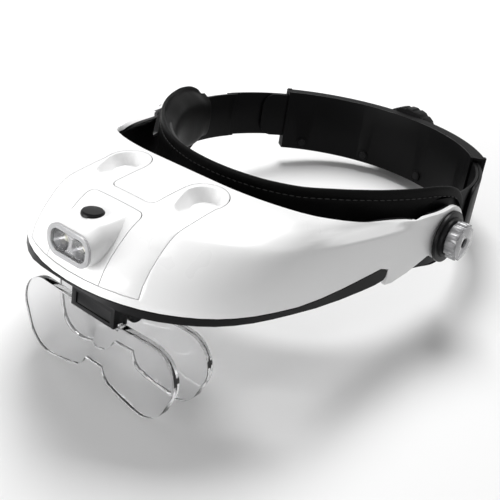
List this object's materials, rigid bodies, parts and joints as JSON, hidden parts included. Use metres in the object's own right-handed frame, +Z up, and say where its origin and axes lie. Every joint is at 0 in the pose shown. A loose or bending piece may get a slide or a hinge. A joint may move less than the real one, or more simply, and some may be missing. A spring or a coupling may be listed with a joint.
{
  "type": "lighted headband magnifier",
  "caption": "Head-worn magnifier: a white visor with a lamp unit and clear drop-in lens plates, hinged by side knobs on a padded headband with a rear size knob.",
  "frame": {"origin": "centre of the bounding box on the table that the object rests on", "axes": "+X to the wearer's left, -Y ahead of the wearer, +Z up; the object lies pitched forwards as it rests on its rear lens plate and its rear knob"},
  "size_m": [0.2154, 0.292, 0.0994],
  "materials": {
    "white_plastic": "smooth moulded white plastic",
    "black_plastic": "moulded black plastic",
    "satin_black": "satin dark plastic",
    "leather": "smooth black leather with a stitched edge",
    "foam": "soft dark foam padding",
    "steel": "plain bright steel",
    "black_steel": "blackened steel",
    "brass": "machined brass",
    "clear_acrylic": "clear polished acrylic",
    "reflector": "bright metallised plastic",
    "led": "clear epoxy with a yellow phosphor",
    "board": "green glass-fibre board",
    "cell": "printed metal jacket, left plain"
  },
  "bodies": {
    "headgear": {"headband_strip": "satin_black", "band_leather": "leather", "forehead_cushion": "foam", "left_rack_arm": "satin_black", "right_rack_arm": "satin_black", "arm_rivets": "black_steel", "housing_inner_cover": "satin_black", "housing_outer_cover": "satin_black", "housing_screws": "black_steel", "detent_spring": "steel", "left_pivot_bolt": "steel", "right_pivot_bolt": "steel", "left_friction_disc": "satin_black", "right_friction_disc": "satin_black"},
    "size_knob": {"rear_knob": "satin_black", "pinion": "brass", "rear_knob_screw": "steel"},
    "visor": {"visor_shell": "white_plastic", "visor_frame": "black_plastic", "left_washer": "black_plastic", "right_washer": "black_plastic", "bottom_cover": "black_plastic", "bottom_cover_screws": "steel", "battery_tray": "black_plastic", "battery_cells": "cell", "battery_contacts": "steel", "battery_springs": "steel", "carrier_pin": "steel"},
    "left_clamp_knob": {"left_side_knob": "clear_acrylic", "left_knob_nut": "steel"},
    "right_clamp_knob": {"right_side_knob": "clear_acrylic", "right_knob_nut": "steel"},
    "light_unit": {"light_cover": "white_plastic", "lamp_housing": "white_plastic", "lamp_screws": "steel", "lamp_bezel": "clear_acrylic", "lamp_window": "clear_acrylic", "reflector": "reflector", "leds": "led", "led_board": "board", "switch_board": "board", "push_switch": "satin_black"},
    "lamp_button": {"push_button": "black_plastic"},
    "lens_holder": {"lens_carrier": "black_plastic", "lens_spring_clips": "steel"},
    "front_lens_plate": {"front_lens": "clear_acrylic"},
    "rear_lens_plate": {"rear_lens": "clear_acrylic"}
  },
  "joints": [
    {"name": "visor_tilt", "type": "hinge", "parent": "headgear", "child": "visor", "pos_m": [0, 0.01738, 0.05117], "axis": [-1, 0, 0], "range_deg": [-8, 55]},
    {"name": "size_knob_turn", "type": "hinge", "parent": "headgear", "child": "size_knob", "pos_m": [0, 0.13055, 0.02351], "axis": [0, 0.9714, -0.2375], "range_deg": [0, 400]},
    {"name": "left_knob_turn", "type": "hinge", "parent": "headgear", "child": "left_clamp_knob", "pos_m": [0.1045, 0.01738, 0.05117], "axis": [1, 0, 0], "range_deg": [0, 360]},
    {"name": "right_knob_turn", "type": "hinge", "parent": "headgear", "child": "right_clamp_knob", "pos_m": [-0.1045, 0.01738, 0.05117], "axis": [-1, 0, 0], "range_deg": [0, 360]},
    {"name": "light_unit_lift", "type": "slide", "parent": "visor", "child": "light_unit", "axis": [0, 0.2375, 0.9714], "range_m": [0, 0.07]},
    {"name": "lamp_button_press", "type": "slide", "parent": "light_unit", "child": "lamp_button", "axis": [0, -0.2375, -0.9714], "range_m": [0, 0.0008], "stiffness_N_per_m": 400, "springref_m": -0.0004},
    {"name": "lens_holder_tilt", "type": "hinge", "parent": "visor", "child": "lens_holder", "pos_m": [0, -0.11914, 0.0444], "axis": [-1, 0, 0], "range_deg": [-12, 12]},
    {"name": "front_lens_slide", "type": "slide", "parent": "lens_holder", "child": "front_lens_plate", "axis": [0, -0.2375, -0.9714], "range_m": [0, 0.012]},
    {"name": "rear_lens_slide", "type": "slide", "parent": "lens_holder", "child": "rear_lens_plate", "axis": [0, -0.2375, -0.9714], "range_m": [0, 0.012]}
  ]
}
